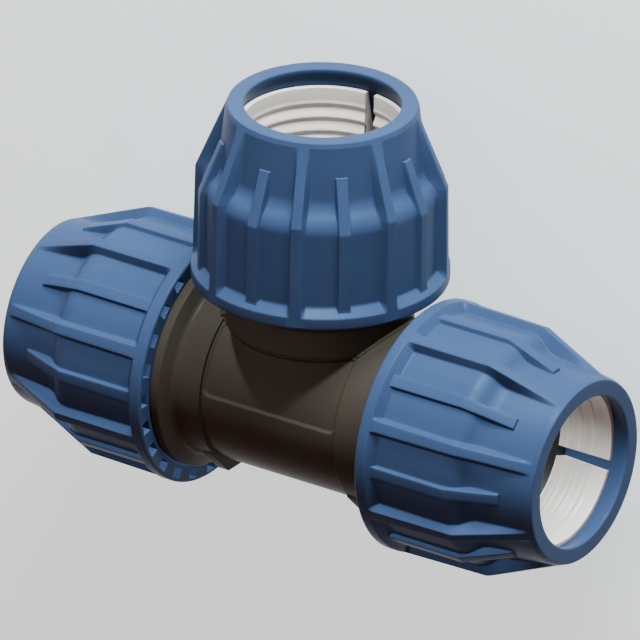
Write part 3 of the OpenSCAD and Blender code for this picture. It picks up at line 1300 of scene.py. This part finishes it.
    def build(self, arm: Arm, pattern: NodeTree, wrap: NodeTree) -> bpy.types.Object:
        """Builds the nut of one arm, dresses it and sets it in place of its solid.

        Args:
            arm: The arm that it screws on.
            pattern: Tree that repeats the half sector.
            wrap: Tree that winds its thread.

        Returns:
            The finished nut.
        """
        material = Finish.NUT.material()
        shell = pattern.apply(self.sector(), {"Count": self.ribs, "Material": material})
        shell.transform(Matrix.Rotation(self.half_angle, 4, "Z"))
        start = SIZES.thread_start + SIZES.pitch / 2
        thread = ScrewThread(SIZES.nut_bore_r, False, start, self.thread_turns)
        ridge = thread.mesh(wrap, material)
        bm = bmesh.new()
        bm.from_mesh(shell)
        bm.from_mesh(ridge)
        bm.transform(SIZES.crossing @ arm.turn)
        for mesh in (shell, ridge):
            bpy.data.meshes.remove(mesh)
        name = f"screw_nut_{arm.value}"
        nut = add_object(name, finished_mesh(bm, name, self.sharp))
        paint(nut, material)
        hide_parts(f"nut_{arm.value}")
        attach(nut, f"cap_{arm.value}")
        LOG.info("%s: %d faces", name, len(nut.data.polygons))
        return nut


# Split rings


@dataclass
class SplitRing:
    """The white ring that grips the pipe: tapered outside, rounded teeth inside and one slit.

    Attributes:
        grip_r: Radius at the tips of the teeth, in millimetres.
        band_r: Radius of the plain band in front of them.
        root_r: Radius of the grooves between the teeth.
        thin_r: Outer radius at the mouth end.
        thick_r: Outer radius at the other end.
        band: Length of the plain band.
        tooth_pitch: Spacing of the teeth.
        groove_drop: How far behind a tip its groove is deepest.
        land_drop: How far the plain band stands in at the first tip.
        land_slope: Length over which it does so.
        land_round: Rounding at the start of that slope.
        tip_flat: Width of the flat on a tip.
        heel: Distance of the last tip from the thick end.
        slit_w: Width of the slit.
        corner: Rounding of its ends.
        steps: Number of flats round it.
        sharp: Edges steeper than this angle in degrees stay crisp.
    """

    grip_r: float = 31.95
    band_r: float = 32.5
    root_r: float = 33.7
    thin_r: float = 34.55
    thick_r: float = 39.95
    band: float = 7.0
    tooth_pitch: float = 6.0
    groove_drop: float = 2.5
    land_drop: float = 0.25
    land_slope: float = 1.2
    land_round: float = 0.8
    tip_flat: float = 0.1
    heel: float = 0.5
    slit_w: float = 4.4
    corner: float = 0.35
    steps: int = 180
    sharp: float = 50.0

    def slit_angle(self, arm: Arm) -> float:
        """Angle of the slit round each arm, in radians."""
        return math.radians({Arm.LEFT: 200.0, Arm.RIGHT: -21.0, Arm.BRANCH: 88.0}[arm])

    def groove(self, start: Point, end: Point, deepest: float) -> list[Point]:
        """Points of one rounded groove.

        Args:
            start: Tip in front of the groove as (radius, place).
            end: Tip behind it.
            deepest: Radius at its deepest point.

        Returns:
            The points after the first tip, up to the second one.
        """
        points = []
        low = start[1] - self.groove_drop
        for k in range(1, 8):
            share = k / 7
            r = start[0] + (deepest - start[0]) * (1 - math.cos(math.pi * share)) / 2
            points.append((r, start[1] - self.groove_drop * share))
        for k in range(1, 9):
            share = k / 8
            eased = 0.6 * share + 0.4 * (1 - math.cos(math.pi * share)) / 2
            points.append((deepest + (end[0] - deepest) * eased, low + (end[1] - low) * share))
        return points

    def section(self) -> list[Point]:
        """Section of the ring.

        Returns:
            Points as (radius, place), from the mouth end over the teeth and back along the taper.
        """
        front, back = SIZES.ring_end, SIZES.ring_start
        first, first_r = front - self.band, self.band_r - self.land_drop
        middle = (self.band_r + self.thin_r) / 2
        points = rounded([
            (middle, front, 0),
            (self.band_r, front, self.corner),
            (self.band_r, first + self.land_slope, self.land_round),
            (first_r, first + self.tip_flat, 0),
        ])
        tips = [(first_r, first)] + [(self.grip_r, first - self.tooth_pitch * k) for k in (1, 2)]
        tips.append((self.grip_r, back + self.heel))
        for tip, after in zip(tips, tips[1:]):
            share = min(1.0, (tip[1] - after[1]) / self.tooth_pitch)
            deepest = self.grip_r + (self.root_r - self.grip_r) * share
            points += [tip] + self.groove((tip[0], tip[1] - self.tip_flat), after, deepest)
        points += rounded([
            (self.grip_r, back + self.heel - self.tip_flat / 2, 0),
            (self.grip_r, back, self.corner),
            (self.thick_r, back, self.corner),
            (self.thin_r, front, self.corner),
            (middle, front, 0),
        ])[1:-1]
        return points

    def build(self, arm: Arm) -> bpy.types.Object:
        """Builds the ring of one arm, dresses it and sets it in place of its solid.

        Args:
            arm: The arm that it sits in.

        Returns:
            The finished ring.
        """
        section = self.section()
        slit = self.slit_angle(arm)
        edges = [math.asin(self.slit_w / 2 / r) for r, _ in section]
        bm = tube(
            [
                polar(slit + edge + (2 * math.pi - 2 * edge) * step / self.steps, r, z)
                for edge, (r, z) in zip(edges, section)
            ]
            for step in range(self.steps + 1)
        )
        bmesh.ops.triangulate(bm, faces=[face for face in bm.faces if len(face.verts) > 4])
        bm.transform(SIZES.crossing @ arm.turn)
        name = f"grip_ring_{arm.value}"
        ring = add_object(name, finished_mesh(bm, name, self.sharp))
        paint(ring, Finish.SPLIT_RING.material())
        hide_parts(f"split_ring_{arm.value}")
        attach(ring, f"grip_{arm.value}")
        LOG.info("%s: %d faces", name, len(ring.data.polygons))
        return ring


# Body


@dataclass
class TeeBody:
    """The moulded body: two crossing tubes, three necks with collars, threaded spigots, pad and feet.

    Attributes:
        neck_fillet: Fillet between a neck and its collar, in millimetres.
        collar_slope: Length of the slope behind the collar.
        collar_rounds: Roundings of the collar's two edges and at its foot on the spigot.
        collar_end_slope: Length of the slope from the collar down to the spigot.
        spigot_bevel: Bevel at the end of a spigot.
        foot_rise: Height of a foot over the neck.
        foot_len: Length of a foot along the run.
        pad_low: Where the marking pad starts over the run's axis.
        pad_h: Its height.
        pad_depth: How far it is sunk.
        pad_corner: Rounding of its corners.
        pad_inset: Distance of its sides from the necks.
        pad_fillet: Width of the rounded wall round it.
        pad_margin: How far the cutter reaches past the pad.
        pad_lift: Height over the tubes of the cutter's floor along the pad's edge.
        pad_clear: Slope and greatest height of its floor outside the pad.
        pad_blend: Width over which the cutter rounds the crease between the tubes.
        pad_fade: Distance from the middle planes within which that rounding fades.
        pad_cells: Cells of the cutter's floor across and along.
        crease_fillet: Radius of the fillets in the creases between the tubes.
        crease_lap: How far a fillet's strip reaches past its edges into the tubes.
        crease_span: First and last angle of the tubes' front fillets, in degrees from the front.
        neck_crease_span: First and last angle of the necks' fillets.
        crease_cells: Pieces of a fillet along and across.
        thread_turns: Turns of the thread on a spigot.
        segments: Number of flats round a tube.
        sharp: Edges steeper than this angle in degrees stay crisp.
    """

    neck_fillet: float = 2.6
    collar_slope: float = 1.9
    collar_rounds: Spot = (0.35, 0.3, 0.5)
    collar_end_slope: float = 1.6
    spigot_bevel: float = 0.4
    foot_rise: float = 0.7
    foot_len: float = 5.0
    pad_low: float = 3.2
    pad_h: float = 28.4
    pad_depth: float = 0.9
    pad_corner: float = 3.6
    pad_inset: float = 0.3
    pad_fillet: float = 1.3
    pad_margin: float = 0.05
    pad_lift: float = 0.04
    pad_clear: Point = (2.0, 1.8)
    pad_blend: float = 1.1
    pad_fade: float = 14.0
    pad_cells: tuple[int, int] = (150, 66)
    crease_fillet: float = 2.3
    crease_lap: float = 0.012
    crease_span: Point = (14.0, 62.5)
    neck_crease_span: Point = (50.0, 130.0)
    crease_cells: tuple[int, int] = (40, 8)
    thread_turns: float = 5.4
    segments: int = 160
    sharp: float = 30.0

    def arm_outline(self) -> list[Point]:
        """Outside of an arm.

        Returns:
            Points as (radius, place) from the start of its neck to the end of its spigot.
        """
        middle = (SIZES.neck_r + self.neck_fillet, SIZES.collar_start - self.collar_slope - self.neck_fillet)
        points: list[Point] = [(SIZES.tube_r, SIZES.neck_start), (SIZES.neck_r, SIZES.neck_start + 0.02)]
        points += arc(middle, self.neck_fillet, 180, 120, 8)
        points += rounded([
            (*points[-1], 0),
            (SIZES.collar_r, SIZES.collar_start, self.collar_rounds[0]),
            (SIZES.collar_r, SIZES.collar_end, self.collar_rounds[1]),
            (SIZES.root_r, SIZES.collar_end + self.collar_end_slope, self.collar_rounds[2]),
            (SIZES.root_r, SIZES.spigot_end - self.spigot_bevel, 0),
        ])[1:]
        return points + [(SIZES.root_r - self.spigot_bevel, SIZES.spigot_end)]

    def arm_hole(self) -> list[Point]:
        """Space inside an arm: waterway, pipe socket and seal chamber.

        Returns:
            Points as (radius, place) from the middle of the tee to past the end of the spigot.
        """
        return [
            (0.0, -1.0),
            (SIZES.waterway_r, -1.0),
            (SIZES.waterway_r, SIZES.socket_floor),
            (SIZES.socket_r, SIZES.socket_floor),
            (SIZES.socket_r, SIZES.chamber_floor),
            (SIZES.chamber_r, SIZES.chamber_floor),
            (SIZES.chamber_r, SIZES.spigot_end + 1),
            (0.0, SIZES.spigot_end + 1),
        ]

    def along_run(self, half: Sequence[Point]) -> list[Point]:
        """Outline of the whole run from the outline of one arm, closed on the axis at both ends."""
        whole = [(r, -z) for r, z in reversed(half)] + list(half)
        return [(0.0, whole[0][1])] + whole + [(0.0, whole[-1][1])]

    def pad_height(self, x: float, y: float) -> float:
        """Height of the floor of the pad's cutter over the tubes.

        Args:
            x: Place along the run, in millimetres.
            y: Place up the branch.

        Returns:
            The height: sunk on the pad, eased over its wall and clear of the tubes outside it.
        """
        half, r = SIZES.neck_start - self.pad_inset, self.pad_corner
        across = abs(x) - (half - r)
        along = abs(y - self.pad_low - self.pad_h / 2) - (self.pad_h / 2 - r)
        outside = math.hypot(max(across, 0), max(along, 0)) + min(max(across, along), 0) - r
        share = max(0.0, min(1.0, -outside / self.pad_fillet))
        clear = min(self.pad_clear[1], self.pad_clear[0] * max(0.0, outside))
        return self.pad_lift + clear - (self.pad_depth + self.pad_lift) * share * share * (3 - 2 * share)

    def pad(self) -> bpy.types.Object:
        """Builds the solid that sinks the marking pad, with a rounded wall and filleted creases.

        Returns:
            The cutter, over the front of the body.
        """
        half = SIZES.neck_start - self.pad_inset + self.pad_margin
        low, high = self.pad_low - self.pad_margin, self.pad_low + self.pad_h + self.pad_margin
        across, along = self.pad_cells
        columns, rows = np.linspace(-half, half, across + 1), np.linspace(low, high, along + 1)
        bm = bmesh.new()
        floor, roof = [], []
        for y in rows:
            floor.append([])
            roof.append([])
            for x in columns:
                r = SIZES.tube_r + self.pad_height(x, y)
                run, branch = math.sqrt(r * r - y * y), math.sqrt(r * r - x * x)
                near = max(self.pad_blend - abs(run - branch), 0.0) / self.pad_blend
                fade = min(1.0, min(abs(x), abs(y)) / self.pad_fade)
                z = max(run, branch) + near * near * self.pad_blend / 4 * fade
                floor[-1].append(bm.verts.new((x * MM, y * MM, z * MM)))
                roof[-1].append(bm.verts.new((x * MM, y * MM, (SIZES.tube_r + 2) * MM)))
        count, wide = len(rows), len(columns)
        for j in range(count - 1):
            for k in range(wide - 1):
                for grid in (floor, roof):
                    bm.faces.new((grid[j][k], grid[j][k + 1], grid[j + 1][k + 1], grid[j + 1][k]))
        rim = [(0, k) for k in range(wide - 1)] + [(j, wide - 1) for j in range(count - 1)]
        rim += [(count - 1, k) for k in range(wide - 1, 0, -1)] + [(j, 0) for j in range(count - 1, 0, -1)]
        for (a, b), (c, d) in zip(rim, rim[1:] + rim[:1]):
            bm.faces.new((floor[a][b], floor[c][d], roof[c][d], roof[a][b]))
        return add_object("pad", finished_mesh(bm, "pad"))

    def crease(self, side: int, radius: float, first: float, last: float, nearest: float) -> bpy.types.Object:
        """Builds the fillet that a rolling ball leaves in one crease between the run and the branch.

        Args:
            side: -1 for the left crease and 1 for the right one.
            radius: Radius of the two cylinders that meet.
            first: Where it starts, in degrees from the front of the tee.
            last: Where it ends.
            nearest: Nothing of it comes nearer than this to the middle planes of the run and branch.

        Returns:
            A closed strip that reaches a little into the body.
        """
        ball, (steps, pieces) = self.crease_fillet, self.crease_cells
        rings = []
        for step in range(steps + 1):
            angle = math.radians(first + (last - first) * step / steps)
            sine, cosine = math.sin(angle), math.cos(angle)
            centre = Vector(((radius + ball) * sine, (radius + ball) * sine, (radius + ball) * cosine))
            start = Vector((0, -sine, -cosine)) * ball
            end = Vector((-sine, 0, -cosine)) * ball
            ring = [centre + start.slerp(end, k / pieces) for k in range(pieces + 1)]
            ring[0] += start * (self.crease_lap / ball)
            ring[-1] += end * (self.crease_lap / ball)
            ring.append(Vector((sine, sine, cosine)) * radius - Vector((1.2, 1.2, 0.8 * cosine)))
            rings.append([(v.x * side * MM, v.y * MM, v.z * MM) for v in ring])
        strip = add_object("crease", finished_mesh(tube(rings), "crease"))
        if nearest > 0:
            near, far = side * nearest, side * SIZES.collar_start
            corners = [(near, nearest), (far, nearest), (far, SIZES.collar_start), (near, SIZES.collar_start)]
            room = prism(corners, -SIZES.collar_r, SIZES.collar_r, "room", Matrix.Identity(4))
            combine(strip, [room], Join.KEEP)
        return strip

    def foot(self) -> list[Point]:
        """Section of a foot: two corners of an octagon below the neck.

        Returns:
            Corners as (place down, place across), from the axis of the run.
        """
        flat = SIZES.neck_r + self.foot_rise
        corner = flat / math.cos(math.radians(22.5))
        sunk = SIZES.tube_r - 0.3
        half = [(sunk, 128.0), (flat, 135.0), (corner, 157.5)]
        spots = [(r, math.radians(a)) for r, a in half + [(r, 360 - a) for r, a in reversed(half)]]
        return [(0.0, 0.0)] + [(r * math.cos(a), r * math.sin(a)) for r, a in spots]

    def shell(self) -> bpy.types.Object:
        """Joins and cuts the solids of the body.

        Returns:
            The body without its threads, about the crossing of the axes.
        """
        run, branch = Arm.RIGHT.turn, Arm.BRANCH.turn
        arm = self.arm_outline()
        body = revolve(self.along_run(arm), "tee_body", self.segments, run)
        limb = [(0.0, 0.0), (SIZES.tube_r, 0.0)] + arm + [(0.0, arm[-1][1])]
        added = [revolve(limb, "limb", self.segments, branch)]
        upright = Matrix.Rotation(math.radians(90), 4, "Z") @ Matrix.Rotation(math.radians(90), 4, "X")
        for side in (-1, 1):
            low = SIZES.neck_start if side > 0 else -SIZES.neck_start - self.foot_len
            added.append(prism(self.foot(), low, low + self.foot_len, "foot", upright))
        near, far = self.crease_span
        for side in (-1, 1):
            for first, last in ((near, far), (180 - far, 180 - near)):
                added.append(self.crease(side, SIZES.tube_r, first, last, 0.0))
            added.append(self.crease(side, SIZES.neck_r, *self.neck_crease_span, SIZES.neck_start + 0.03))
        combine(body, added, Join.ADD)
        hole = self.arm_hole()
        cutter = revolve(self.along_run(hole[2:-1]), "run_hole", self.segments, run)
        combine(cutter, [revolve(hole, "branch_hole", self.segments, branch)], Join.ADD)
        combine(body, [cutter, self.pad()], Join.CUT)
        return body

    def build(self, wrap: NodeTree) -> bpy.types.Object:
        """Builds the body with its threads, dresses it and sets it in place of its solid.

        Args:
            wrap: Tree that winds the threads.

        Returns:
            The finished body.
        """
        material = Finish.BODY.material()
        body = self.shell()
        bm = bmesh.new()
        bm.from_mesh(body.data)
        for arm in Arm:
            thread = ScrewThread(SIZES.root_r, True, SIZES.thread_start, self.thread_turns)
            ridge = thread.mesh(wrap, material)
            ridge.transform(arm.turn)
            bm.from_mesh(ridge)
            bpy.data.meshes.remove(ridge)
        bm.transform(SIZES.crossing)
        bmesh.ops.triangulate(bm, faces=bm.faces)
        old = body.data
        body.data = finished_mesh(bm, "tee_body", self.sharp)
        bpy.data.meshes.remove(old)
        paint(body, material)
        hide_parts("body")
        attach(body, "tee_body")
        LOG.info("tee_body: %d faces", len(body.data.polygons))
        return body


# Studio


@dataclass(frozen=True)
class SoftLight:
    """A square light that points at the middle of the tee.

    Attributes:
        name: Name of the light.
        place: Where it stands, in metres.
        size: Length of its side in metres.
        watts: Its power.
        tint: Its colour.
        shadows: Whether it casts shadows.
    """

    name: str
    place: Spot
    size: float
    watts: float
    tint: Colour
    shadows: bool = True

    def add(self) -> None:
        """Adds the light to the scene."""
        data = bpy.data.lights.new(self.name, "AREA")
        data.shape = "SQUARE"
        data.size, data.energy, data.color, data.use_shadow = self.size, self.watts, self.tint, self.shadows
        lamp = bpy.data.objects.new(self.name, data)
        lamp.location = self.place
        lamp.rotation_mode = "QUATERNION"
        lamp.rotation_quaternion = (-Vector(self.place)).to_track_quat("-Z", "Y")
        bpy.context.scene.collection.objects.link(lamp)


@dataclass
class Studio:
    """Floor, soft lights and the camera at the photograph's viewing angle.

    Attributes:
        azimuth: Turn of the view about the branch, in degrees.
        elevation: Height of the view over the plane across the branch, in degrees.
        roll: Turn of the picture, in degrees.
        aim: Place of the picture's middle right of and above the crossing, in millimetres.
        span: Width of the picture at the crossing, in millimetres.
        lens: Focal length in millimetres.
        sensor: Width of the camera's sensor in millimetres.
        reach: Half the side of the floor, in metres.
        floor_tints: The two tones of the floor.
        floor_glow: Settings that are the same all over the floor, which gives off a little light.
        air: Colour and strength of the light from all round.
        lights: The lights.
    """

    azimuth: float = 33.747
    elevation: float = 25.960
    roll: float = 0.739
    aim: Point = (0.41, 28.64)
    span: float = 259.9
    lens: float = 1600.0
    sensor: float = 36.0
    reach: float = 4.0
    floor_tints: tuple[Colour, Colour] = ((0.86, 0.86, 0.86), (0.88, 0.88, 0.88))
    floor_glow: dict[str, Any] = field(default_factory=lambda: {
        "Specular IOR Level": 0.2,
        "Emission Color": (0.86, 0.98, 1.0, 1.0),
        "Emission Strength": 0.52,
    })
    air: tuple[Colour, float] = ((1.0, 0.64, 0.56), 0.42)
    lights: tuple[SoftLight, ...] = (
        SoftLight("key", (0.55, 1.70, 0.18), 0.8, 85.0, (0.84, 0.97, 1.0)),
        SoftLight("top", (0.0, 1.8, 0.34), 0.4, 98.0, (0.84, 0.97, 1.0), shadows=False),
        SoftLight("fill", (-1.3, 0.6, 1.0), 1.2, 2.0, (1.0, 0.75, 0.7)),
    )

    def axes(self) -> tuple[Vector, Vector, Vector]:
        """Directions of the picture, with the tee laid down from the upright place that the photograph shows.

        Returns:
            Its right, up and back directions in the frame.
        """
        a, e, roll = (math.radians(v) for v in (self.azimuth, self.elevation, self.roll))
        back = Vector((math.sin(a) * math.cos(e), -math.cos(a) * math.cos(e), math.sin(e)))
        side = Vector((math.cos(a), math.sin(a), 0))
        rise = back.cross(side)
        right = side * math.cos(roll) + rise * math.sin(roll)
        up = rise * math.cos(roll) - side * math.sin(roll)
        lay = Matrix(((1, 0, 0), (0, 0, 1), (0, -1, 0)))
        return lay @ right, lay @ up, lay @ back

    def camera(self) -> None:
        """Adds the camera."""
        right, up, back = self.axes()
        data = bpy.data.cameras.new("camera")
        data.sensor_width = self.sensor
        data.lens = self.lens
        distance = self.lens / self.sensor * self.span * MM
        data.clip_start, data.clip_end = 1.0, 60.0
        eye = bpy.data.objects.new("camera", data)
        bpy.context.scene.collection.objects.link(eye)
        target = SIZES.crossing.translation + (right * self.aim[0] + up * self.aim[1]) * MM
        pose = Matrix((right, up, back)).transposed().to_4x4()
        pose.translation = target + back * distance
        eye.matrix_world = pose
        bpy.context.scene.camera = eye

    def floor(self) -> None:
        """Adds the pale floor that the tee lies on."""
        low = min(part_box(n)[0][2] for n in frame["nodes"])
        bm = bmesh.new()
        spots = ((-1, -1), (1, -1), (1, 1), (-1, 1))
        bm.faces.new([bm.verts.new((x * self.reach, y * self.reach, low)) for x, y in spots])
        floor = add_object("floor", plain_mesh(bm, "floor"))
        shader = Shader("pale_floor")
        tint = shader.mix(shader.noise(2.0, 2.0) * 0.5, *self.floor_tints)
        rough = 0.6 + shader.noise(6.0) * 0.1
        normal = shader.soft_normal(shader.noise(500.0), 1e-6, 0.0)
        paint(floor, shader.plastic(tint, rough, normal, self.floor_glow))

    def surroundings(self) -> None:
        """Adds the even light from all round."""
        world = bpy.data.worlds.new("surroundings")
        world.use_nodes = True
        ground = world.node_tree.nodes["Background"]
        ground.inputs["Color"].default_value = (*self.air[0], 1.0)
        ground.inputs["Strength"].default_value = self.air[1]
        bpy.context.scene.world = world

    def build(self) -> None:
        """Adds the camera, the floor, the surroundings and the lights."""
        self.camera()
        self.floor()
        self.surroundings()
        for light in self.lights:
            light.add()


# Making


def main() -> None:
    """Builds the pieces in order, dresses the solids that stay, and sets up the studio."""
    logging.basicConfig(level=logging.INFO, format="%(message)s")
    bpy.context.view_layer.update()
    pattern, wrap = ring_pattern(), screw_wrap()
    for arm in Arm:
        ScrewNut().build(arm, pattern, wrap)
        SplitRing().build(arm)
    TeeBody().build(wrap)
    finishes = {"thrust_ring": Finish.THRUST_RING, "o_ring": Finish.SEAL}
    for kind, finish in finishes.items():
        for arm in Arm:
            node = frame["nodes"][f"{kind}_{arm.value}"]
            paint(node, finish.material())
            LOG.info("%s: dressed", node.name)
    Studio().build()
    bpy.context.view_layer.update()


if __name__ == "__main__":
    main()
